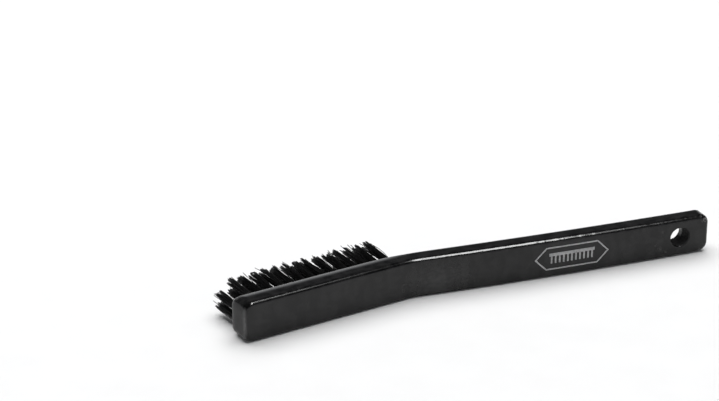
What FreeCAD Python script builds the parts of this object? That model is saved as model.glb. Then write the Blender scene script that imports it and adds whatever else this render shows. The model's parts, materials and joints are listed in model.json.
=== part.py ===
"""Fade brush: a bent wooden handle, tufts anchored in blind holes in its head, a hang hole and a printed mark.

The drawing frame has its origin at the toe, on the back of the head: +X runs along the head towards the grip,
+Y is the way the bristles point and +Z goes across the width, from the side that the brush lies on.
Every sub-part is then placed so that the origin is below the middle of the whole brush. Sizes are in mm.
"""
import FreeCAD, Part
import math
import os
import re
import Sketcher

Vector = FreeCAD.Vector

# ---------------------------------------------------------------- driving dimensions
DIMENSIONS = {
    # handle
    "head_flat": 60.7,  # straight back of the head, from the toe to the start of the bend
    "head_width": 14.0,
    "head_thick": 8.7,
    "toe_corner": 3.5,  # rounding of the toe, seen from the back
    "bend_radius": 27.0,  # inside of the bend, on the back
    "bend_angle": 13.6,  # turn from the head to the start of the grip, degrees
    "neck_radius": 50.0,  # outside of the bend, on the bristle side
    "grip_chord": 106.0,  # from the end of the bend to the end of the grip
    "grip_radius": 1667.0,  # the grip bows slightly back towards the bristle side
    "grip_thick": 6.7,
    "grip_end_width": 13.3,
    "draw_in_after_bend": 4.0,  # from the end of the bend to where the parallel sides start to draw in
    "end_corner": 3.0,  # rounding of the grip's end, seen from the back
    "edge_round": 1.5,  # rounding of every long edge
    "blank_allowance": 2.0,  # wood left outside the outline until it is cut away
    # hang hole
    "hang_radius": 3.3,
    "hang_from_end": 11.4,
    "hang_mouth_round": 0.45,
    # tuft holes
    "column_pitch": 3.97,
    "first_column": 4.3,  # from the toe to the first column of holes
    "row_pitch": 3.8,
    "tuft_hole_radius": 1.15,
    "tuft_hole_depth": 6.0,
    # tufts
    "bristle_length": 15.8,  # from the face of the head to the trimmed tips
    "tuft_tip_radius": 1.45,
    "tuft_clearance": 0.03,
    # anchors
    "fold_thick": 1.0,  # bundle under the anchor
    "anchor_bite": 0.2,  # how far each end of an anchor bites into the wall of its hole
    "anchor_tall": 1.6,
    "anchor_thick": 0.35,
    "anchor_clearance": 0.02,
    # printed mark
    "mark_from_bend": 53.8,
    "mark_long": 27.5,
    "mark_wide": 8.3,
    "mark_point": 4.2,  # length of each pointed end
    "mark_line": 0.5,
    "ink_thick": 0.05,
    "comb_long": 16.8,
    "comb_spine": 1.1,
    "comb_tooth_long": 2.6,
    "comb_tooth_wide": 0.6,
    "comb_tooth_pitch": 1.5,
}
COLUMNS = 15
COMB_TEETH = 11
# row name: (places across the width, counted from the middle row; first column that holds a tuft, from 0)
ROWS = {"bottom": (-1, 0), "middle": (0, 0), "top": (1, 1)}

# ---------------------------------------------------------------- dimensions that follow from them
DERIVED = {
    "bend_end_x": "head_flat + bend_radius * sin(bend_angle)",
    "bend_end_y": "-bend_radius * (1 - cos(bend_angle))",
    "bow_centre_x": "bend_end_x + grip_radius * sin(bend_angle)",
    "bow_centre_y": "bend_end_y + grip_radius * cos(bend_angle)",
    "bow_angle": "2 * asin(grip_chord / (2 * grip_radius)) / 1 deg",
    "end_angle": "bend_angle - bow_angle",
    "end_x": "bow_centre_x - grip_radius * sin(end_angle)",
    "end_y": "bow_centre_y - grip_radius * cos(end_angle)",
    "blank_end_x": "end_x + grip_thick",
    "side_flat": "bend_end_x + draw_in_after_bend",
    "side_draw_in": "(head_width - grip_end_width) / 2",
    "highest_x": "end_x + (grip_thick - edge_round) * sin(end_angle) + edge_round * (1 - cos(end_angle))",
    "lowest_y": "end_y - edge_round * (1 - cos(end_angle) - sin(end_angle))",
    "highest_y": "head_thick + bristle_length",
    "centre_x": "highest_x / 2",
    "centre_y": "(lowest_y + highest_y) / 2",
    "hang_angle": "end_angle + hang_from_end / grip_radius * 180 / pi",
    "hang_x": "bow_centre_x - (grip_radius - grip_thick / 2) * sin(hang_angle)",
    "hang_y": "bow_centre_y - (grip_radius - grip_thick / 2) * cos(hang_angle)",
    "hole_floor_y": "head_thick - tuft_hole_depth",
    "anchor_low_y": "hole_floor_y + fold_thick",
    "anchor_length": "2 * (tuft_hole_radius + anchor_bite)",
    "mark_angle": "bend_angle - mark_from_bend / grip_radius * 180 / pi",
    "mark_x": "bow_centre_x - grip_radius * sin(mark_angle)",
    "mark_y": "bow_centre_y - grip_radius * cos(mark_angle)",
}

doc = FreeCAD.newDocument("fade_brush")
sizes = doc.addObject("Spreadsheet::Sheet", "Sizes")
for row, (alias, value) in enumerate({**DIMENSIONS, **DERIVED}.items(), start=1):
    sizes.set(f"A{row}", alias)
    sizes.set(f"B{row}", f"={value}" if alias in DERIVED else str(value))
    sizes.setAlias(f"B{row}", alias)
doc.recompute()
ALIAS = re.compile(r"\b(" + "|".join([*DIMENSIONS, *DERIVED]) + r")\b")


# ---------------------------------------------------------------- ties to the sheet
def in_sheet(expression):
    return ALIAS.sub(r"Sizes.\1", expression)


def value_of(expression):
    """What an expression of aliases comes to now: a starting place for a sketch's solver."""
    result = sizes.evalExpression(in_sheet(expression))
    return float(getattr(result, "Value", result))


def bind(thing, path, expression):
    thing.setExpression(path, in_sheet(expression))


def place(thing, x, y, z):
    """Put a sub-part at a point of the drawing frame, moved so that the origin is below the brush's middle."""
    bind(thing, "Placement.Base.x", f"{x} - centre_x")
    bind(thing, "Placement.Base.y", f"{y} - centre_y")
    bind(thing, "Placement.Base.z", z)


# ---------------------------------------------------------------- sketches
def sketch_on(body, plane, label, offset=("0", "0", "0"), turn=None):
    """A sketch on one of its own body's origin planes, moved within that plane's axes by three expressions.

    turn is an expression in degrees that tilts a sketch on the XZ plane about the brush's width.
    """
    sketch = body.newObject("Sketcher::SketchObject", label)
    support = next(f for f in body.Origin.OriginFeatures if f.Role == plane)
    sketch.AttachmentSupport = (support, [""])
    sketch.MapMode = "FlatFace"
    if turn:
        sketch.AttachmentOffset = FreeCAD.Placement(Vector(), FreeCAD.Rotation(Vector(0, 1, 0), 1))
        bind(sketch, "AttachmentOffset.Rotation.Angle", f"({turn}) * 1 deg")
    for axis, expression in zip("xyz", offset):
        bind(sketch, f"AttachmentOffset.Base.{axis}", expression)
    return sketch


def line(start, end):
    return Part.LineSegment(Vector(*start, 0), Vector(*end, 0))


def arc(centre, radius, start_degrees, end_degrees):
    circle = Part.Circle(Vector(*centre, 0), Vector(0, 0, 1), radius)
    return Part.ArcOfCircle(circle, math.radians(start_degrees), math.radians(end_degrees))


def constrain(sketch, kind, *where):
    sketch.addConstraint(Sketcher.Constraint(kind, *where))


def dimension(sketch, name, kind, *where, to):
    """A driving constraint tied to an expression, which also gives its first value."""
    first = value_of(to)
    if kind == "Angle":
        first = math.radians(first)
    sketch.renameConstraint(sketch.addConstraint(Sketcher.Constraint(kind, *where, first)), name)
    bind(sketch, f"Constraints.{name}", f"({to}) * 1 deg" if kind == "Angle" else to)


def fix_point(sketch, edge, end, x, y):
    """Hold one end of an edge at two distances from the sketch's origin, or on its axes."""
    for name, axis, expression in (("X", -2, x), ("Y", -1, y)):
        if expression == "0":
            constrain(sketch, "PointOnObject", edge, end, axis)
        else:
            dimension(sketch, f"at_{edge}_{end}_{name}", f"Distance{name}", -1, 1, edge, end, to=expression)


def polygon(sketch, corners):
    """A closed outline of straight edges through corners that are each two expressions."""
    points = [(value_of(x), value_of(y)) for x, y in corners]
    first = sketch.GeometryCount
    for start, end in zip(points, points[1:] + points[:1]):
        sketch.addGeometry(line(start, end), False)
    for number, (x, y) in enumerate(corners):
        constrain(sketch, "Coincident", first + (number - 1) % len(corners), 2, first + number, 1)
        fix_point(sketch, first + number, 1, x, y)


def rectangle(sketch, x_low, y_low, x_high, y_high):
    polygon(sketch, [(x_low, y_low), (x_high, y_low), (x_high, y_high), (x_low, y_high)])


def circle(sketch, x, y, radius):
    centre = Vector(value_of(x), value_of(y), 0)
    edge = sketch.addGeometry(Part.Circle(centre, Vector(0, 0, 1), value_of(radius)), False)
    dimension(sketch, "radius", "Radius", edge, to=radius)
    fix_point(sketch, edge, 3, x, y)


# ---------------------------------------------------------------- features
def new_body(label):
    body = doc.addObject("PartDesign::Body", label)
    body.Label = label
    return body


def pad(body, sketch, length, label):
    feature = body.newObject("PartDesign::Pad", label)
    feature.Profile = sketch
    feature.SideType = "Symmetric"
    bind(feature, "Length", length)
    return feature


def pocket(body, sketch, label, depth=None):
    """Cut a sketch through everything both ways, or by a depth along the sketch's own normal."""
    before = body.Tip.Shape.Volume
    feature = body.newObject("PartDesign::Pocket", label)
    feature.Profile = sketch
    if depth:
        feature.Reversed = True
        bind(feature, "Length", depth)
    else:
        feature.Type = "ThroughAll"
        feature.SideType = "Symmetric"
    doc.recompute()
    if feature.Shape.Volume >= before:
        raise ValueError(f"{label} cuts nothing")
    return feature


def fillet(body, base, edges, radius, label):
    feature = body.newObject("PartDesign::Fillet", label)
    feature.Base = (base, edges)
    bind(feature, "Radius", radius)
    doc.recompute()
    return feature


def sharp_edges(shape, least_degrees=10):
    """Names of the edges where two faces meet at an angle, such as every edge left by a saw."""
    names = []
    for number, edge in enumerate(shape.Edges, start=1):
        faces = shape.ancestorsOfType(edge, Part.Face)
        middle = edge.valueAt((edge.FirstParameter + edge.LastParameter) / 2)
        normals = [face.normalAt(*face.Surface.parameter(middle)) for face in faces]
        if len(normals) == 2 and math.degrees(normals[0].getAngle(normals[1])) > least_degrees:
            names.append(f"Edge{number}")
    return names


def end_corner_edges(shape):
    """Names of the two edges that run through the thickness at the end of the grip."""
    names = []
    for number, edge in enumerate(shape.Edges, start=1):
        rise = abs(edge.Vertexes[0].Z - edge.Vertexes[-1].Z)
        if edge.CenterOfMass.x > value_of("end_x") and rise < edge.Length / 2:
            names.append(f"Edge{number}")
    return names


# ---------------------------------------------------------------- handle
def draw_side(sketch):
    """The handle seen from its narrow side: a straight head, a bend, and a grip that bows slightly back."""
    turn, end = value_of("bend_angle"), value_of("end_angle")
    thick, grip_thick = value_of("head_thick"), value_of("grip_thick")
    bend_radius, bow_radius, neck_radius = (value_of(f"{n}_radius") for n in ("bend", "grip", "neck"))
    bow = Vector(value_of("bow_centre_x"), value_of("bow_centre_y"), 0)
    front_radius = bow_radius - grip_thick
    neck_y = thick - neck_radius
    reach = neck_radius + front_radius
    neck = Vector(bow.x - math.sqrt(reach**2 - (bow.y - neck_y) ** 2), neck_y, 0)
    meeting = math.degrees(math.atan2(bow.y - neck.y, bow.x - neck.x))
    flat, toe = value_of("head_flat"), -value_of("blank_allowance")
    back_end = (value_of("end_x"), value_of("end_y"))
    across = (math.sin(math.radians(end)), math.cos(math.radians(end)))
    front_end = (back_end[0] + grip_thick * across[0], back_end[1] + grip_thick * across[1])
    back, bend, grip_back, end_face, grip_front, neck_arc, front, toe_face = sketch.addGeometry(
        [
            line((toe, 0), (flat, 0)),
            arc((flat, -bend_radius), bend_radius, 90 - turn, 90),
            arc((bow.x, bow.y), bow_radius, 270 - turn, 270 - end),
            line(back_end, front_end),
            arc((bow.x, bow.y), front_radius, 180 + meeting, 270 - end),
            arc((neck.x, neck.y), neck_radius, meeting, 90),
            line((neck.x, thick), (toe, thick)),
            line((toe, thick), (toe, 0)),
        ],
        False,
    )
    constrain(sketch, "Horizontal", back)
    fix_point(sketch, back, 1, "-blank_allowance", "0")
    dimension(sketch, "head_flat", "DistanceX", -1, 1, back, 2, to="head_flat")
    constrain(sketch, "Tangent", back, 2, bend, 2)
    dimension(sketch, "bend_radius", "Radius", bend, to="bend_radius")
    dimension(sketch, "bend_angle", "Angle", bend, to="bend_angle")
    constrain(sketch, "Tangent", bend, 1, grip_back, 1)
    dimension(sketch, "grip_radius", "Radius", grip_back, to="grip_radius")
    dimension(sketch, "grip_chord", "Distance", grip_back, 1, grip_back, 2, to="grip_chord")
    constrain(sketch, "Perpendicular", grip_back, 2, end_face, 1)
    dimension(sketch, "grip_thick", "Distance", end_face, 1, end_face, 2, to="grip_thick")
    constrain(sketch, "Coincident", end_face, 2, grip_front, 2)
    constrain(sketch, "Coincident", grip_back, 3, grip_front, 3)
    constrain(sketch, "Tangent", grip_front, 1, neck_arc, 1)
    dimension(sketch, "neck_radius", "Radius", neck_arc, to="neck_radius")
    constrain(sketch, "Tangent", neck_arc, 2, front, 1)
    constrain(sketch, "Horizontal", front)
    constrain(sketch, "Coincident", front, 2, toe_face, 1)
    constrain(sketch, "Vertical", toe_face)
    dimension(sketch, "head_thick", "Distance", toe_face, 1, toe_face, 2, to="head_thick")
    constrain(sketch, "Coincident", toe_face, 2, back, 1)


def draw_waste(sketch):
    """What is cut away around the handle seen from its back: sides that draw in along the grip, a round toe."""
    width, corner, flat = value_of("head_width"), value_of("toe_corner"), value_of("side_flat")
    draw_in, far = value_of("side_draw_in"), value_of("blank_end_x")
    run = far - flat
    side_radius = (run**2 + draw_in**2) / (2 * draw_in)
    swing = math.degrees(math.asin(run / side_radius))
    low, low_side, end, high_side, high, high_corner, toe, low_corner = sketch.addGeometry(
        [
            line((corner, 0), (flat, 0)),
            arc((flat, side_radius), side_radius, 270, 270 + swing),
            line((far, draw_in), (far, width - draw_in)),
            arc((flat, width - side_radius), side_radius, 90 - swing, 90),
            line((flat, width), (corner, width)),
            arc((corner, width - corner), corner, 90, 180),
            line((0, width - corner), (0, corner)),
            arc((corner, corner), corner, 180, 270),
        ],
        False,
    )
    constrain(sketch, "Horizontal", low)
    constrain(sketch, "PointOnObject", low, 1, -1)
    dimension(sketch, "low_flat", "DistanceX", -1, 1, low, 2, to="side_flat")
    constrain(sketch, "Tangent", low, 2, low_side, 1)
    fix_point(sketch, low_side, 2, "blank_end_x", "side_draw_in")
    constrain(sketch, "Coincident", low_side, 2, end, 1)
    constrain(sketch, "Coincident", end, 2, high_side, 1)
    fix_point(sketch, high_side, 1, "blank_end_x", "head_width - side_draw_in")
    constrain(sketch, "Tangent", high_side, 2, high, 1)
    constrain(sketch, "Horizontal", high)
    fix_point(sketch, high, 1, "side_flat", "head_width")
    constrain(sketch, "Tangent", high, 2, high_corner, 1)
    constrain(sketch, "Tangent", high_corner, 2, toe, 1)
    constrain(sketch, "Vertical", toe)
    constrain(sketch, "PointOnObject", toe, 1, -2)
    constrain(sketch, "Tangent", toe, 2, low_corner, 1)
    constrain(sketch, "Tangent", low_corner, 2, low, 1)
    for name, edge in (("high_corner", high_corner), ("low_corner", low_corner)):
        dimension(sketch, name, "Radius", edge, to="toe_corner")
    rectangle(
        sketch,
        "-2 * blank_allowance",
        "-2 * blank_allowance",
        "blank_end_x + blank_allowance",
        "head_width + 2 * blank_allowance",
    )


def row_height(row):
    return f"(head_width / 2 + ({ROWS[row][0]}) * row_pitch)"


def drill_row(body, row):
    """One row of blind tuft holes, each with the slot that its anchor bites into the wall."""
    first, z = f"(first_column + {ROWS[row][1]} * column_pitch)", row_height(row)
    holes = COLUMNS - ROWS[row][1]
    hole_sketch = sketch_on(body, "XZ_Plane", f"tuft_hole_{row}", ("0", "0", "-head_thick"))
    circle(hole_sketch, first, z, "tuft_hole_radius")
    hole = pocket(body, hole_sketch, f"tuft_hole_cut_{row}", "tuft_hole_depth")
    bite_sketch = sketch_on(body, "XZ_Plane", f"anchor_bite_{row}", ("0", "0", "-anchor_low_y - anchor_tall"))
    rectangle(
        bite_sketch,
        f"{first} - anchor_length / 2",
        f"{z} - anchor_thick / 2",
        f"{first} + anchor_length / 2",
        f"{z} + anchor_thick / 2",
    )
    bite = pocket(body, bite_sketch, f"anchor_bite_cut_{row}", "anchor_tall")
    pattern = body.newObject("PartDesign::LinearPattern", f"tuft_holes_{row}")
    pattern.Originals = [hole, bite]
    pattern.Direction = (hole_sketch, ["H_Axis"])
    pattern.Occurrences = holes
    bind(pattern, "Length", f"{holes - 1} * column_pitch")
    body.Tip = pattern
    doc.recompute()


def make_handle():
    body = new_body("handle")
    side = sketch_on(body, "XY_Plane", "side", ("0", "0", "head_width / 2"))
    draw_side(side)
    blank = pad(body, side, "head_width + 2 * blank_allowance", "blank")
    doc.recompute()
    waste = sketch_on(body, "XZ_Plane", "waste")
    draw_waste(waste)
    sawn = pocket(body, waste, "sawn")
    cornered = fillet(body, sawn, end_corner_edges(sawn.Shape), "end_corner", "end_corners")
    rounded = fillet(body, cornered, sharp_edges(cornered.Shape), "edge_round", "long_edges")
    hang = sketch_on(body, "XZ_Plane", "hang_hole", ("hang_x", "head_width / 2", "-hang_y"), turn="-hang_angle")
    circle(hang, "0", "0", "hang_radius")
    bored = pocket(body, hang, "hang_bore")
    fillet(body, bored, sharp_edges(bored.Shape), "hang_mouth_round", "hang_mouths")
    for row in ROWS:
        drill_row(body, row)
    place(body, "0", "0", "0")
    return body


# ---------------------------------------------------------------- tufts and anchors
def columns_of(row):
    return range(ROWS[row][1], COLUMNS)


def column_x(column):
    return f"first_column + {column} * column_pitch"


def make_tuft(row, column):
    """A bundle of filaments as one solid: a root that fills its hole, split by the anchor, and a flared top."""
    body = new_body(f"tuft_{row}_{column + 1:02d}")
    half = sketch_on(body, "XY_Plane", f"half_section_{body.Label}")
    root = "tuft_hole_radius - tuft_clearance"
    tip = "tuft_hole_depth + bristle_length"
    corners = [("0", "0"), (root, "0"), (root, "tuft_hole_depth"), ("tuft_tip_radius", tip), ("0", tip)]
    polygon(half, corners)
    bundle = body.newObject("PartDesign::Revolution", f"bundle_{body.Label}")
    bundle.Profile = half
    bundle.ReferenceAxis = (half, ["V_Axis"])
    doc.recompute()
    slot = sketch_on(body, "YZ_Plane", f"slot_{body.Label}")
    low, high = "fold_thick - anchor_clearance", "fold_thick + anchor_tall + anchor_clearance"
    side = "anchor_thick / 2 + anchor_clearance"
    rectangle(slot, low, f"-({side})", high, side)
    pocket(body, slot, f"split_{body.Label}")
    place(body, column_x(column), "hole_floor_y", row_height(row))
    return body


def make_anchor(row, column):
    anchor = doc.addObject("Part::Box", f"anchor_{row}_{column + 1:02d}")
    bind(anchor, "Length", "anchor_length")
    bind(anchor, "Width", "anchor_tall")
    bind(anchor, "Height", "anchor_thick")
    bind(anchor, "Placement.Base.x", f"{column_x(column)} - anchor_length / 2")
    bind(anchor, "Placement.Base.y", "anchor_low_y")
    bind(anchor, "Placement.Base.z", f"{row_height(row)} - anchor_thick / 2")
    return anchor


def make_anchor_row(row):
    """The flat wire anchors of one row, as one group of separate solids."""
    group = doc.addObject("Part::Compound", f"anchors_{row}_row")
    group.Label = group.Name
    group.Links = [make_anchor(row, column) for column in columns_of(row)]
    place(group, "0", "0", "0")
    return group


# ---------------------------------------------------------------- printed mark
def mark_corners(inset):
    """A long badge with a point at each end, drawn in by an inset that keeps its border even."""
    slant = f"({inset}) * sqrt(mark_point ^ 2 + (mark_wide / 2) ^ 2) / (mark_wide / 2)"
    half, shoulder = f"(mark_long / 2 - {slant})", "(mark_long / 2 - mark_point)"
    tall = f"(mark_wide / 2 - {inset})"
    inner = f"({half} - {tall} * mark_point / (mark_wide / 2))"
    return [
        (f"-{half}", "0"),
        (f"-{inner}", f"-{tall}"),
        (inner, f"-{tall}"),
        (half, "0"),
        (inner, tall),
        (f"-{inner}", tall),
    ]


def comb_corners():
    """A comb: a spine with a row of teeth along its lower side."""
    top = "(comb_spine + comb_tooth_long) / 2"
    under, tips = f"({top} - comb_spine)", f"-({top})"
    corners = [("comb_long / 2", under), ("comb_long / 2", top), ("-comb_long / 2", top), ("-comb_long / 2", under)]
    for tooth in range(COMB_TEETH):
        middle = f"({tooth} - {(COMB_TEETH - 1) / 2}) * comb_tooth_pitch"
        left, right = f"{middle} - comb_tooth_wide / 2", f"{middle} + comb_tooth_wide / 2"
        corners += [(left, under), (left, tips), (right, tips), (right, under)]
    return corners


def make_printed_mark():
    """A film of ink that follows the back of the grip: a pointed border round a comb."""
    plates = []
    for name, outlines in (("border", [mark_corners("0"), mark_corners("mark_line")]), ("comb", [comb_corners()])):
        sketch = doc.addObject("Sketcher::SketchObject", f"mark_{name}_outline")
        for outline in outlines:
            polygon(sketch, outline)
        sketch.Placement = FreeCAD.Placement(Vector(), FreeCAD.Rotation(Vector(1, 0, 0), 90))
        plate = doc.addObject("Part::Extrusion", f"mark_{name}_plate")
        plate.Base = sketch
        plate.DirMode = "Normal"
        plate.Solid = True
        plate.Symmetric = True
        bind(plate, "LengthFwd", "2 * blank_allowance")
        plates.append(plate)
    stencil = doc.addObject("Part::Compound", "mark_stencil")
    stencil.Links = plates
    stencil.Placement = FreeCAD.Placement(Vector(), FreeCAD.Rotation(Vector(0, 0, 1), -1))
    bind(stencil, "Placement.Rotation.Angle", "-mark_angle * 1 deg")
    for axis, expression in zip("xyz", ("mark_x", "mark_y", "head_width / 2")):
        bind(stencil, f"Placement.Base.{axis}", expression)
    rounds = []
    for name, radius in (("ink_outside", "grip_radius + ink_thick"), ("ink_inside", "grip_radius")):
        cylinder = doc.addObject("Part::Cylinder", name)
        bind(cylinder, "Radius", radius)
        bind(cylinder, "Height", "head_width")
        for axis, expression in zip("xy", ("bow_centre_x", "bow_centre_y")):
            bind(cylinder, f"Placement.Base.{axis}", expression)
        rounds.append(cylinder)
    film = doc.addObject("Part::Cut", "ink_film")
    film.Base, film.Tool = rounds
    mark = doc.addObject("Part::Common", "printed_mark")
    mark.Label = mark.Name
    mark.Base, mark.Tool = film, stencil
    place(mark, "0", "0", "0")
    return mark


# ---------------------------------------------------------------- build, test and export
def main():
    pieces = [make_handle(), make_printed_mark()]
    for row in ROWS:
        pieces += [make_tuft(row, column) for column in columns_of(row)]
        pieces.append(make_anchor_row(row))
    doc.recompute()
    for thing in doc.Objects:
        if {"Invalid", "Error"} & set(thing.State):
            raise ValueError(f"{thing.Label} did not build: {thing.State}")
    for piece in pieces:
        if piece.Shape.isNull() or not piece.Shape.isValid():
            raise ValueError(f"{piece.Label} has no valid shape")
    os.makedirs("parts", exist_ok=True)
    for piece in pieces:
        piece.Shape.exportStep(f"parts/{piece.Label}.step")
    print(f"{len(pieces)} sub-parts written")


main()
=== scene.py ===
import json
import math

import bmesh
import bpy
import numpy as np
from mathutils import Matrix, Vector


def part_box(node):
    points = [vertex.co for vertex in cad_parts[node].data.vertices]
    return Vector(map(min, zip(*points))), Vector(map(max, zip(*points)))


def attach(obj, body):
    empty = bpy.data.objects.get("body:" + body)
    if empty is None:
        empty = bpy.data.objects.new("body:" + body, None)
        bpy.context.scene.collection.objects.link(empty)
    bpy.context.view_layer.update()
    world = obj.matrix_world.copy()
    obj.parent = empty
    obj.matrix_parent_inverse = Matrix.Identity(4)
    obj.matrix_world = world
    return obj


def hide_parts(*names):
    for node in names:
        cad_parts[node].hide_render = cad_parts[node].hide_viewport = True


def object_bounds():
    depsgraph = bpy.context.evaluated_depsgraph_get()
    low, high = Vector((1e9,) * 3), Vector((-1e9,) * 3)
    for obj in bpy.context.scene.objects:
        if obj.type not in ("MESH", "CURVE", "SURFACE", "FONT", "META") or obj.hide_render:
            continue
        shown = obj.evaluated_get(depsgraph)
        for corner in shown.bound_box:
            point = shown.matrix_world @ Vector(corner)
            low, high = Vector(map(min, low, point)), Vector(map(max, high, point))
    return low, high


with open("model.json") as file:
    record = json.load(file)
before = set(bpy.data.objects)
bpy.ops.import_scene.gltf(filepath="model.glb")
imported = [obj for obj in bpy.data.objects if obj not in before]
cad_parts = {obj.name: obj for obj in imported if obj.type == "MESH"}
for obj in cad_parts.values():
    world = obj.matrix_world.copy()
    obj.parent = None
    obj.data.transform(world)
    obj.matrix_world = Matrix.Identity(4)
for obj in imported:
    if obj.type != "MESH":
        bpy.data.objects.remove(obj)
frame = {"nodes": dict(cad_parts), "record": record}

# The brush stands on its narrow side: +X runs along the head towards the grip, +Y is the way the bristles
# point and +Z goes across the width. Lengths are metres.
CAD_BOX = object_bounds()
MM = 0.001
NODES = frame["nodes"]
BODY = "root"
HOLE_DEPTH = 6.0 * MM
HEAD_THICK = 8.7 * MM
TOE_X = CAD_BOX[0].x
MIDDLE_Z = (CAD_BOX[0].z + CAD_BOX[1].z) / 2
FACE_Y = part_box("tuft_middle_01")[0].y + HOLE_DEPTH  # the face that the bristles stand on
BACK_Y = FACE_Y - HEAD_THICK
HANG_HOLE = next(m for m in frame["record"]["mounts"] if m["name"] == "hang_hole")

# ---------------------------------------------------------------- camera
CAMERA_AZIMUTH = math.radians(-32.11)
CAMERA_ELEVATION = math.radians(23.27)
CAMERA_DISTANCE = 768.8 * MM
CAMERA_LENS = 115.2  # millimetres, as Blender takes it
SENSOR_WIDTH = 36
NEAREST_SEEN = 0.01
FURTHEST_SEEN = 100
FRAMING = (-35.7 * MM, 20.9 * MM)  # how far the picture's middle lies right of and above the brush's middle


def camera_axes():
    """Unit vectors from the brush to the camera, to the picture's right and up the picture."""
    a, e = CAMERA_AZIMUTH, CAMERA_ELEVATION
    back = Vector((math.sin(a) * math.cos(e), -math.cos(a) * math.cos(e), math.sin(e)))
    right = Vector((math.cos(a), math.sin(a), 0))
    return back, right, back.cross(right)


def make_camera():
    """The camera looks at the back of the brush from the toe's side, a little from above."""
    back, right, up = camera_axes()
    middle = (CAD_BOX[0] + CAD_BOX[1]) / 2
    data = bpy.data.cameras.new("camera")
    data.lens = CAMERA_LENS
    data.sensor_width = SENSOR_WIDTH
    data.clip_start = NEAREST_SEEN
    data.clip_end = FURTHEST_SEEN
    camera = bpy.data.objects.new("camera", data)
    camera.location = middle + right * FRAMING[0] + up * FRAMING[1] + back * CAMERA_DISTANCE
    camera.rotation_mode = "QUATERNION"
    camera.rotation_quaternion = back.to_track_quat("Z", "Y")
    bpy.context.scene.collection.objects.link(camera)
    bpy.context.scene.camera = camera


# ---------------------------------------------------------------- floor and lights
FLOOR_SIZE = 12.0
FLOOR_GAP = 0.05 * MM  # keeps the floor and the brush's side from sharing a plane
GRIP_RUN = (0.972, -0.235, 0)  # the way the grip runs where it starts
STRIP_DISTANCE = 1.4
OVERHEAD_DISTANCE = 2.4
BACKDROP_TOP = math.radians(8)  # how high the white backdrop reaches, seen from the brush
ROOM_START = math.radians(19)  # from here up the room is dim
BACKDROP_COLOUR = (0.8, 0.81, 0.83, 1)
ROOM_COLOUR = (0.1, 0.102, 0.105, 1)


def make_floor():
    """A wide pale sheet for the brush to lie on."""
    half = FLOOR_SIZE / 2
    corners = [(-half, -half, 0), (half, -half, 0), (half, half, 0), (-half, half, 0)]
    mesh = bpy.data.meshes.new("floor")
    mesh.from_pydata(corners, [], [(0, 1, 2, 3)])
    floor = bpy.data.objects.new("floor", mesh)
    bpy.context.scene.collection.objects.link(floor)
    floor.location.z = CAD_BOX[0].z - FLOOR_GAP
    mesh.materials.append(floor_paper())


def softbox(name, towards, distance, size, watts, across=(1, 0, 0), glints=True):
    """A rectangular light in a direction from the brush, facing it, with its width lying along `across`.

    It either makes glints in the lacquer or lights the surfaces. So the glints can be narrow while the
    shadows stay soft.
    """
    data = bpy.data.lights.new(name, "AREA")
    data.shape = "RECTANGLE"
    data.size, data.size_y = size
    data.energy = watts
    light = bpy.data.objects.new(name, data)
    away = Vector(towards).normalized()
    width = (Vector(across) - away * away.dot(Vector(across))).normalized()
    turn = Matrix((width, away.cross(width), away)).transposed().to_4x4()
    light.matrix_world = Matrix.Translation(away * distance) @ turn
    light.visible_glossy = glints
    light.visible_diffuse = not glints
    bpy.context.scene.collection.objects.link(light)


def make_sky():
    """A dim room with a bright band at the horizon, as a white backdrop gives."""
    world = bpy.data.worlds.new("studio")
    world.use_nodes = True
    nodes, links = world.node_tree.nodes, world.node_tree.links
    split = nodes.new("ShaderNodeSeparateXYZ")
    ramp = nodes.new("ShaderNodeValToRGB")
    links.new(nodes.new("ShaderNodeTexCoord").outputs["Generated"], split.inputs[0])
    links.new(split.outputs["Z"], ramp.inputs["Fac"])
    links.new(ramp.outputs["Color"], nodes["Background"].inputs["Color"])
    backdrop, room = ramp.color_ramp.elements
    backdrop.position, backdrop.color = math.sin(BACKDROP_TOP), BACKDROP_COLOUR
    room.position, room.color = math.sin(ROOM_START), ROOM_COLOUR
    bpy.context.scene.world = world


def make_lights():
    """The studio's lights and its surroundings.

    A narrow strip, square to the grip, makes the long glint on its edge. A dimmer one beside it carries the
    glint on faintly. A broad overhead light whitens the floor.
    """
    softbox("strip", (0.262, -0.44, 0.86), STRIP_DISTANCE, (0.23, 1.0), 18, across=GRIP_RUN)
    softbox("beside_strip", (0.36, -0.425, 0.83), STRIP_DISTANCE, (0.19, 0.8), 1.6, across=GRIP_RUN)
    softbox("overhead", (0.1, 0.25, 1.0), OVERHEAD_DISTANCE, (3.2, 3.2), 96, glints=False)
    make_sky()
    bpy.context.scene.view_settings.view_transform = "Standard"


# ---------------------------------------------------------------- materials
RIM_INSET = 0.7 * MM
# Paler, duller places: painted reflections at the toe's edges and where the grip starts, painted reflection
# with rubbed lacquer at the head's rims, chips where the lacquer is knocked: (strength, place, reach along
# each axis)
HEAD_RIMS = [
    (0.4, (TOE_X + 30 * MM, FACE_Y - 0.9 * MM, z), (130 * MM, 2.0 * MM, 1.4 * MM))
    for z in (CAD_BOX[0].z + RIM_INSET, CAD_BOX[1].z - RIM_INSET)
]
# painted reflections: the toe's two upright edges are made paler
TOE_BACK_EDGE = (0.5, (TOE_X + 0.4 * MM, BACK_Y + 0.5 * MM, MIDDLE_Z), (0.9 * MM, 1.2 * MM, 9 * MM))
TOE_FACE_EDGE = (0.45, (TOE_X + 0.5 * MM, FACE_Y - 1.0 * MM, MIDDLE_Z), (1.4 * MM, 1.9 * MM, 9 * MM))
GRIP_START = (TOE_X + 72.87 * MM, BACK_Y - 2.13 * MM, CAD_BOX[0].z + 5 * MM)
# painted reflection: the back face is made paler where the grip starts
GRIP_START_SHEEN = (0.1, GRIP_START, (15 * MM, 7 * MM, 9 * MM))
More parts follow.
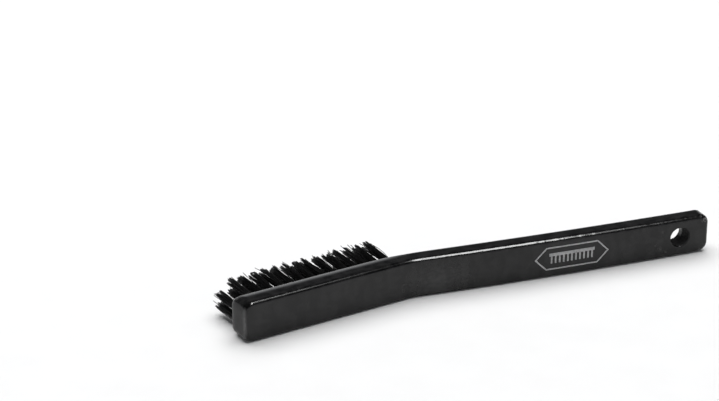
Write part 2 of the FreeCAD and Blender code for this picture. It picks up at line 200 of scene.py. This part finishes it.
# every place of painted reflection; the head's rims stand for rubbed lacquer too
PAINTED_SHEEN_AND_RUBBING = HEAD_RIMS + [TOE_BACK_EDGE, TOE_FACE_EDGE, GRIP_START_SHEEN]
GRIP_END = (CAD_BOX[1].x - 1.2 * MM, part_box("handle")[0].y + 1.0 * MM)
CHIPPED = [
    (1.0, (*GRIP_END, z), (3.4 * MM, 4 * MM, 2.6 * MM))
    for z in (CAD_BOX[0].z + 1.6 * MM, CAD_BOX[1].z - 1.2 * MM)
]
HOLE_EDGE = 0.1  # how strong the spot in the hang hole is where the hole's wall begins
HOLE_WALL = (HANG_HOLE["pos_m"], (3.8 * MM, 60 * MM, 3.8 * MM))
END_GRAIN = ((TOE_X - 0.6 * MM, (FACE_Y + BACK_Y) / 2, MIDDLE_Z), (1.6 * MM, 14 * MM, 20 * MM))
SCARS = [  # (from the hang hole along the grip, across the width, size)
    (-7.2 * MM, 2.9 * MM, 0.75 * MM),
    (-7.9 * MM, -3.0 * MM, 1.1 * MM),
    (-9.6 * MM, -1.6 * MM, 0.6 * MM),
    (-5.6 * MM, -4.4 * MM, 0.7 * MM),
]
SCARRED_SIDE = HANG_HOLE["pos_m"][1] - 2.0 * MM
SCAR_SPOTS = [
    (1.0, (HANG_HOLE["pos_m"][0] + x, SCARRED_SIDE, HANG_HOLE["pos_m"][2] + z), (size, 4 * MM, size))
    for x, z, size in SCARS
]
DEEP_BLACK = (0.0004, 0.0004, 0.0006)
THIN_BLACK = (0.0098, 0.0096, 0.0098)
# painted sheen: the pale grey standing in for reflections, and for rubbed lacquer at the head's rims
SHEEN_AND_RUB_COLOUR = (0.27, 0.268, 0.266, 1)
CHIP_COLOUR = (0.4, 0.395, 0.39, 1)
SCAR_COLOUR = (0.1, 0.099, 0.098, 1)
SCAR_TINT = 0.32  # how far a scar takes on its own colour
DULL_ROUGHNESS = (0.85, 0.85, 0.85, 1)
GRAIN_DEPTH = 0.003 * MM
WAVE_DEPTH = 0.04 * MM
SCAR_DEPTH = 0.12 * MM
MIX_SOCKETS = (0, 6, 7)  # a Mix node's factor and its two colours, among sockets for every data type
MIX_RESULT = 2


class Shader:
    """A Principled material whose node inputs are filled by name."""

    def __init__(self, name, **values):
        self.material = bpy.data.materials.new(name)
        self.material.use_nodes = True
        self.tree = self.material.node_tree
        self.surface = self.tree.nodes["Principled BSDF"]
        self.place = self.tree.nodes.new("ShaderNodeTexCoord").outputs["Object"]
        for socket, value in values.items():
            self.surface.inputs[socket.replace("_", " ")].default_value = value

    def node(self, kind, **settings):
        made = self.tree.nodes.new(kind)
        for name, value in settings.items():
            setattr(made, name, value)
        return made

    def feed(self, socket, value):
        """Link a socket to another node's output, or set it to a plain value."""
        if isinstance(value, bpy.types.NodeSocket):
            self.tree.links.new(value, socket)
        else:
            socket.default_value = value

    def fill(self, made, **inputs):
        for name, value in inputs.items():
            self.feed(made.inputs[name.replace("_", " ")], value)
        return made

    def stretched(self, x=1.0, y=1.0, z=1.0):
        """The object's own coordinates, scaled along each axis."""
        mapping = self.node("ShaderNodeMapping")
        return self.fill(mapping, Vector=self.place, Scale=(x, y, z)).outputs["Vector"]

    def noise(self, scale, detail=3.0, roughness=0.5, across=None):
        made = self.node("ShaderNodeTexNoise")
        where = across or self.place
        return self.fill(made, Vector=where, Scale=scale, Detail=detail, Roughness=roughness).outputs["Fac"]

    def ramp(self, value, *stops):
        """A colour ramp through (position, grey or colour) stops."""
        made = self.node("ShaderNodeValToRGB")
        elements = made.color_ramp.elements
        while len(elements) < len(stops):
            elements.new(0.5)
        for element, (position, colour) in zip(elements, stops):
            element.position = position
            element.color = (*colour, 1) if isinstance(colour, tuple) else (colour, colour, colour, 1)
        return self.fill(made, Fac=value).outputs["Color"]

    def bump(self, height, distance, under=None):
        made = self.node("ShaderNodeBump")
        self.fill(made, Height=height, Distance=distance, Strength=1.0)
        if under:
            self.fill(made, Normal=under)
        return made.outputs["Normal"]

    def share(self, operation, *values):
        """The result of an operation on two or three values, held between 0 and 1."""
        made = self.node("ShaderNodeMath", operation=operation, use_clamp=True)
        for socket, value in zip(made.inputs, values):
            self.feed(socket, value)
        return made.outputs["Value"]

    def mix(self, share, first, second):
        made = self.node("ShaderNodeMix", data_type="RGBA")
        factor, colour_a, colour_b = (made.inputs[i] for i in MIX_SOCKETS)
        for socket, value in ((factor, share), (colour_a, first), (colour_b, second)):
            self.feed(socket, value)
        return made.outputs[MIX_RESULT]

    def spot(self, place, reach):
        """1 at a place on the object, falling to 0 at the reach along each axis."""
        scale = [1 / r for r in reach]
        mapping = self.node("ShaderNodeMapping")
        centre = [-p * k for p, k in zip(place, scale)]
        where = self.fill(mapping, Vector=self.place, Location=centre, Scale=scale).outputs["Vector"]
        gradient = self.node("ShaderNodeTexGradient", gradient_type="SPHERICAL")
        return self.fill(gradient, Vector=where).outputs["Fac"]

    def wear_and_sheen(self, places):
        """The strongest of several spots of wear and of painted sheen, each a (strength, place, reach)."""
        most = 0.0
        for strength, place, reach in places:
            most = self.share("MAXIMUM", self.share("MULTIPLY", self.spot(place, reach), strength), most)
        return most

    def link(self, **inputs):
        self.fill(self.surface, **inputs)
        return self.material


def floor_paper():
    shader = Shader("floor_paper", Roughness=0.75, Specular_IOR_Level=0.2)
    mottle = shader.noise(60.0, detail=4.0)
    return shader.link(Base_Color=shader.ramp(mottle, (0.3, 0.86), (0.7, 0.88)))


def lacquered_wood():
    """Black lacquer over wood.

    Grain shows faintly. Painted reflections make the head's rims, the toe's edges and the start of the grip
    greyer and duller, and at the head's rims this also stands for rubbed lacquer. Knocked corners at the
    grip's end are greyer. The toe's end grain and the hang hole's wall are duller too.
    """
    shader = Shader("lacquered_wood", Specular_IOR_Level=0.33)
    grain = shader.noise(1500.0, detail=5.0, roughness=0.65, across=shader.stretched(0.12, 1.0, 0.5))
    mottle = shader.noise(330.0, detail=4.0, roughness=0.6, across=shader.stretched(1.0, 1.0, 0.4))
    scuffs = shader.noise(900.0, detail=6.0, roughness=0.7)
    waves = shader.noise(90.0, detail=1.0)
    blend = shader.share("MULTIPLY_ADD", mottle, 0.6, shader.share("MULTIPLY", grain, 0.4))
    tint = shader.ramp(blend, (0.43, DEEP_BLACK), (0.57, THIN_BLACK))
    streaks = shader.ramp(grain, (0.3, 0.45), (0.7, 1.0))
    # painted reflections: paler, duller lacquer at the head's rims, the toe's edges and the grip's start
    sheen_and_rubbing = shader.share("MULTIPLY", shader.wear_and_sheen(PAINTED_SHEEN_AND_RUBBING), streaks)
    chips = shader.share("MULTIPLY", shader.wear_and_sheen(CHIPPED), shader.ramp(scuffs, (0.52, 0.0), (0.6, 1.0)))
    scars = shader.share("MULTIPLY", shader.wear_and_sheen(SCAR_SPOTS), shader.ramp(scuffs, (0.35, 0.1), (0.6, 1.0)))
    tint = shader.mix(sheen_and_rubbing, tint, SHEEN_AND_RUB_COLOUR)
    tint = shader.mix(chips, tint, CHIP_COLOUR)
    tint = shader.mix(shader.share("MULTIPLY", scars, SCAR_TINT), tint, SCAR_COLOUR)
    in_hole = shader.share("GREATER_THAN", shader.spot(*HOLE_WALL), HOLE_EDGE)
    dull = shader.share("MAXIMUM", sheen_and_rubbing, shader.spot(*END_GRAIN))
    dull = shader.share("MAXIMUM", dull, in_hole)
    gloss = shader.ramp(scuffs, (0.35, 0.09), (0.8, 0.15))
    rough = shader.mix(dull, gloss, DULL_ROUGHNESS)
    surface = shader.bump(grain, GRAIN_DEPTH)
    surface = shader.bump(waves, WAVE_DEPTH, under=surface)
    surface = shader.bump(shader.share("SUBTRACT", 1.0, scars), SCAR_DEPTH, under=surface)
    return shader.link(Base_Color=tint, Roughness=rough, Normal=surface)


def printed_ink():
    """Light grey ink, a little thin and broken where the lacquer shows through it."""
    shader = Shader("printed_ink", Specular_IOR_Level=0.4)
    coverage = shader.noise(2400.0, detail=4.0, roughness=0.65)
    thin, even, thick = (0.16, 0.16, 0.165), (0.37, 0.37, 0.375), (0.44, 0.44, 0.44)
    tint = shader.ramp(coverage, (0.3, thin), (0.5, even), (0.8, thick))
    rough = shader.ramp(coverage, (0.3, 0.32), (0.7, 0.5))
    return shader.link(Base_Color=tint, Roughness=rough, Normal=shader.bump(coverage, 0.01 * MM))


def anchor_wire():
    """Flat drawn steel wire, with drawing lines along its length."""
    shader = Shader("anchor_wire", Metallic=1.0)
    lines = shader.noise(9000.0, across=shader.stretched(0.05, 1.0, 1.0))
    tint = shader.ramp(lines, (0.3, (0.42, 0.42, 0.43)), (0.7, (0.62, 0.61, 0.6)))
    rough = shader.ramp(lines, (0.3, 0.28), (0.7, 0.45))
    return shader.link(Base_Color=tint, Roughness=rough, Normal=shader.bump(lines, 0.004 * MM))


def bristle():
    """Black filament with a dull sheen. Each filament has its own shade, and a few are paler."""
    shader = Shader("bristle", Specular_IOR_Level=0.22)
    shade = shader.node("ShaderNodeAttribute", attribute_name="shade").outputs["Fac"]
    scales = shader.noise(5200.0, across=shader.stretched(1.0, 0.12, 1.0))
    black, soft_black, paler = (0.0006, 0.0006, 0.0007), (0.0024, 0.0023, 0.0022), (0.016, 0.0155, 0.015)
    tint = shader.ramp(shade, (0.0, black), (0.8, soft_black), (1.0, paler))
    rough = shader.ramp(scales, (0.3, 0.42), (0.7, 0.56))
    return shader.link(Base_Color=tint, Roughness=rough, Normal=shader.bump(scales, 0.012 * MM))


def dress(node, material):
    """Give a CAD node its finish, in every slot that it has."""
    for slot in NODES[node].material_slots:
        slot.material = material


# ---------------------------------------------------------------- handle
FALL_WIDTH = 5.2 * MM  # how much of the head's sides, next to the bristles, falls in towards the middle
FALL_SLOPE = 0.34  # of the sides where they meet the face
FALL_STEPS = 10  # rows of faces that follow the fall
HOLE_TO_SIDE = 1.7 * MM  # how much of the head's width, at each side, has no tuft holes
ON_PLANE = 1e-7  # a corner this near to a cut is taken as lying on it


def fall_at(y, z):
    """How far points of the head move towards its middle, and how fast that grows along Y and along Z."""
    past = np.maximum(0.0, y - (FACE_Y - FALL_WIDTH))
    drop = FALL_SLOPE * past**2 / (2 * FALL_WIDTH)
    steepness = FALL_SLOPE * past / FALL_WIDTH
    inner = (CAD_BOX[1].z - CAD_BOX[0].z) / 2 - HOLE_TO_SIDE
    share = np.clip((np.abs(z - MIDDLE_Z) - inner) / HOLE_TO_SIDE, 0, 1)
    way = np.sign(z - MIDDLE_Z)
    return way * share * drop, way * share * steepness, np.where(share > 0, drop / HOLE_TO_SIDE, 0)


def read_vectors(items, name):
    """One vector for each of a mesh's points or corners, as rows of an array."""
    values = np.empty(len(items) * 3, np.float32)
    items.foreach_get(name, values)
    return values.reshape(-1, 3).astype(float)


def cut_across_sides(mesh):
    """Cut the mesh along planes that follow the fall, and keep its smooth normals in an attribute."""
    smooth = mesh.attributes.new("smooth_normal", "FLOAT_VECTOR", "CORNER")
    smooth.data.foreach_set("vector", read_vectors(mesh.corner_normals, "vector").astype(np.float32).ravel())
    shape = bmesh.new()
    shape.from_mesh(mesh)
    for y in np.linspace(FACE_Y - FALL_WIDTH, FACE_Y, FALL_STEPS, endpoint=False):
        everything = shape.verts[:] + shape.edges[:] + shape.faces[:]
        bmesh.ops.bisect_plane(shape, geom=everything, plane_co=(0, y, 0), plane_no=(0, 1, 0), dist=ON_PLANE)
    shape.to_mesh(mesh)
    shape.free()


def make_handle():
    """The handle, with its head's sides falling in towards the bristles. The tuft holes stay as they are."""
    mesh = NODES["handle"].data.copy()
    mesh.name = "shaped_handle"
    cut_across_sides(mesh)
    points = read_vectors(mesh.vertices, "co")
    normals = read_vectors(mesh.attributes["smooth_normal"].data, "vector")
    corners = np.empty(len(mesh.loops), int)
    mesh.loops.foreach_get("vertex_index", corners)
    moved, along_y, along_z = fall_at(points[:, 1], points[:, 2])
    # a surface that is squeezed along Z turns its normals by the inverse of the squeeze
    normals[:, 2] /= 1 - along_z[corners]
    normals[:, 1] += along_y[corners] * normals[:, 2]
    normals /= np.linalg.norm(normals, axis=1)[:, None]
    points[:, 2] -= moved
    mesh.vertices.foreach_set("co", points.ravel())
    mesh.normals_split_custom_set(normals.tolist())
    mesh.attributes.remove(mesh.attributes["smooth_normal"])
    mesh.materials.clear()
    mesh.materials.append(lacquered_wood())
    piece = bpy.data.objects.new("shaped_handle", mesh)
    bpy.context.scene.collection.objects.link(piece)
    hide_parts("handle")
    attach(piece, BODY)


# ---------------------------------------------------------------- tufts
FILAMENTS = 54  # in each tuft, each folded once round the anchor
FILAMENT_RADIUS = 0.105 * MM
FILAMENT_SIDES = 5
MOUTH_RADIUS = 1.04 * MM  # of the bundle's outermost filaments where it leaves its hole
TIP_RADIUS = 1.62 * MM
ANCHOR_TOP = 2.6 * MM  # above the hole's floor
ANCHOR_BOTTOM = 1.0 * MM
ANCHOR_SIDE = 0.3 * MM  # from the anchor's middle to the nearest filament's axis
FREE_STEPS = 5  # points along a filament between its hole and its tip
RAGGED = 0.75 * MM  # how unevenly the tips are trimmed
WISPS = 5  # pointed locks that a tuft gathers into at its tip
WISP_PULL = 0.55
STRAY_SHARE = 0.05
WISP_TURN = 0.35  # how unevenly the locks are spread round a tuft, in radians
WISP_REACH = (0.3, 0.9)  # how far out the locks' points lie, as shares of the tip's radius
WISP_SHORT = 0.6 * MM  # how unevenly long the locks are
PULL_RANGE = (0.6, 1.2)
LEAN_RANDOM = 0.16 * MM
TIP_RANDOM = 0.12 * MM
STRAY_TIP_RANDOM = 0.9 * MM
CURL_RANDOM = 0.1 * MM
STRAY_CURL_RANDOM = 0.4 * MM
LOCK_TAPER = 0.45  # how much shorter a filament is for its distance from its lock's point
TRIM_SHARE = 0.6
FLARE_POWER = 0.7  # under 1, a tuft widens soon after its hole
FAN_OUT = 0.4 * MM  # how far the outer rows lean to the sides, for the whole of the width
TOE_LEAN = -0.35 * MM
TOE_REACH = 8 * MM  # how far from the toe the tufts lean outwards
BESIDE_ANCHOR = 0.7  # how much of its spread a bundle keeps beside the anchor
ANCHOR_CLEAR = 0.05 * MM
FOLD_DEPTH = 0.35 * MM  # from the anchor's underside to the middle filaments' folds
FOLD_SPREAD = 0.25 * MM  # how much deeper the outermost filaments fold
NARROW_INSIDE = 0.92  # a bundle's width inside its hole, as a share of its width at the mouth
TUFT_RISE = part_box("tuft_middle_01")[1].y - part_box("tuft_middle_01")[0].y
BOX_MARGIN = 0.02 * MM
BOX_LOW = np.array(CAD_BOX[0]) + BOX_MARGIN
BOX_HIGH = np.array(CAD_BOX[1]) - BOX_MARGIN
GOLDEN_ANGLE = math.pi * (3 - math.sqrt(5))
SEED = 20


def bundle_places(count):
    """Places spread evenly over a unit disc, as (along the head, across it) pairs."""
    turn = np.arange(count) * GOLDEN_ANGLE
    reach = np.sqrt((np.arange(count) + 0.5) / count)
    return np.column_stack([reach * np.cos(turn), reach * np.sin(turn)])


def tube(path, radius, sides):
    """A closed tube along a path of points, with flat ends: (vertices, faces)."""
    tangents = np.gradient(path, axis=0)
    tangents /= np.linalg.norm(tangents, axis=1)[:, None]
    side = np.cross(tangents, (1.0, 0.0, 0.0))  # filaments run in planes across the head, never along it
    side /= np.linalg.norm(side, axis=1)[:, None]
    other = np.cross(tangents, side)
    angles = np.arange(sides) * 2 * math.pi / sides
    along_side, along_other = np.cos(angles)[None, :, None], np.sin(angles)[None, :, None]
    ring = along_side * side[:, None, :] + along_other * other[:, None, :]
    vertices = (path[:, None, :] + radius * ring).reshape(-1, 3)
    faces = [tuple(range(sides))]
    for i in range(len(path) - 1):
        for k in range(sides):
            after = (k + 1) % sides
            faces.append((i * sides + k, (i + 1) * sides + k, (i + 1) * sides + after, i * sides + after))
    faces.append(tuple((len(path) - 1) * sides + k for k in range(sides))[::-1])
    return vertices, faces


def wisps_of(draw):
    """Where a tuft's locks come to their points, and how much shorter each is, spread round the tuft."""
    start = draw.random() * 2 * math.pi
    turn = start + np.arange(WISPS) * 2 * math.pi / WISPS + draw.normal(0, WISP_TURN, WISPS)
    reach = TIP_RADIUS * draw.uniform(*WISP_REACH, WISPS)
    points = np.column_stack([reach * np.cos(turn), reach * np.sin(turn)])
    return points, np.abs(draw.normal(0, WISP_SHORT, WISPS))


def free_leg(mouth, lean, wisps, draw):
    """One leg's points from the mouth of its hole to its tip, as (x, rise above the hole's floor, z)."""
    points, shorter = wisps
    flared = mouth * (TIP_RADIUS / MOUTH_RADIUS)
    nearest = int(np.argmin(np.linalg.norm(points - flared, axis=1)))
    stray = draw.random() < STRAY_SHARE
    to_point = points[nearest] - flared
    pull = 0.0 if stray else WISP_PULL * draw.uniform(*PULL_RANGE)
    tip = flared + to_point * pull + lean + draw.normal(0, STRAY_TIP_RANDOM if stray else TIP_RANDOM, 2)
    curl = draw.normal(0, STRAY_CURL_RANDOM if stray else CURL_RANDOM, 2)
    # a lock's middle filaments are its longest
    cut_short = LOCK_TAPER * np.linalg.norm(to_point) + TRIM_SHARE * abs(draw.normal(0, RAGGED))
    free_length = TUFT_RISE - HOLE_DEPTH - shorter[nearest] - cut_short
    path = []
    for along in np.linspace(0, 1, FREE_STEPS + 1)[1:]:
        x, z = mouth + (tip - mouth) * along**FLARE_POWER + curl * math.sin(math.pi * along)
        path.append((x, HOLE_DEPTH + free_length * along, z))
    return path


def folded_filament(place, lean, wisps, draw):
    """A filament's points from one tip, round under the anchor and up to its other tip."""
    mouth = np.array([place[0], abs(place[1])]) * MOUTH_RADIUS
    legs = []
    for way in (1, -1):
        here = mouth * (1, way)
        beside = way * (ANCHOR_SIDE + BESIDE_ANCHOR * mouth[1])
        narrow = NARROW_INSIDE * here[0]
        inside = [(narrow, ANCHOR_BOTTOM - ANCHOR_CLEAR, beside), (narrow, ANCHOR_TOP, beside)]
        legs.append(inside + [(here[0], HOLE_DEPTH, here[1])] + free_leg(here, lean, wisps, draw))
    # the fold lies in what is left under the anchor, lower for the outer filaments
    rise = ANCHOR_BOTTOM - FOLD_DEPTH - FOLD_SPREAD * abs(place[1])
    fold = [(NARROW_INSIDE * mouth[0], rise, 0)]
    return np.array(legs[0][::-1] + fold + legs[1])


def make_tuft(node, lean, material, draw):
    """One tuft's filaments, as one mesh in place of its plain CAD solid."""
    low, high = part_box(node)
    foot = np.array([(low.x + high.x) / 2, low.y, (low.z + high.z) / 2])
    wisps = wisps_of(draw)
    vertices, faces, shades = [], [], []
    for place in bundle_places(FILAMENTS):
        path = folded_filament(place, lean, wisps, draw)
        points, quads = tube(foot + path, FILAMENT_RADIUS, FILAMENT_SIDES)
        points = np.clip(points, BOX_LOW, BOX_HIGH)
        first = len(vertices) * FILAMENT_SIDES * len(path)
        faces += [tuple(first + i for i in face) for face in quads]
        vertices.append(points)
        shades += [draw.random() ** 2] * len(points)
    mesh = bpy.data.meshes.new(f"{node}_filaments")
    mesh.from_pydata(np.concatenate(vertices).tolist(), [], faces)
    mesh.attributes.new("shade", "FLOAT", "POINT").data.foreach_set("value", np.array(shades, np.float32))
    mesh.shade_smooth()
    mesh.materials.append(material)
    piece = bpy.data.objects.new(f"{node}_filaments", mesh)
    bpy.context.scene.collection.objects.link(piece)
    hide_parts(node)
    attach(piece, BODY)


def make_tufts():
    """Every tuft in the frame. Those at the toe lean a little outwards, away from the grip."""
    draw = np.random.default_rng(SEED)
    material = bristle()
    for node in sorted(name for name in NODES if name.startswith("tuft_")):
        low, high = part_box(node)
        across = ((low.z + high.z) / 2 - MIDDLE_Z) / (CAD_BOX[1].z - CAD_BOX[0].z)
        from_toe = (low.x - TOE_X) / TOE_REACH
        outward = TOE_LEAN * max(0.0, 1 - from_toe)
        lean = np.array([outward, FAN_OUT * across]) + draw.normal(0, LEAN_RANDOM, 2)
        make_tuft(node, lean, material, draw)


# ---------------------------------------------------------------- the scene
make_camera()
make_floor()
make_lights()
make_handle()
dress("printed_mark", printed_ink())
wire = anchor_wire()
for row in ("bottom", "middle", "top"):
    dress(f"anchors_{row}_row", wire)
make_tufts()
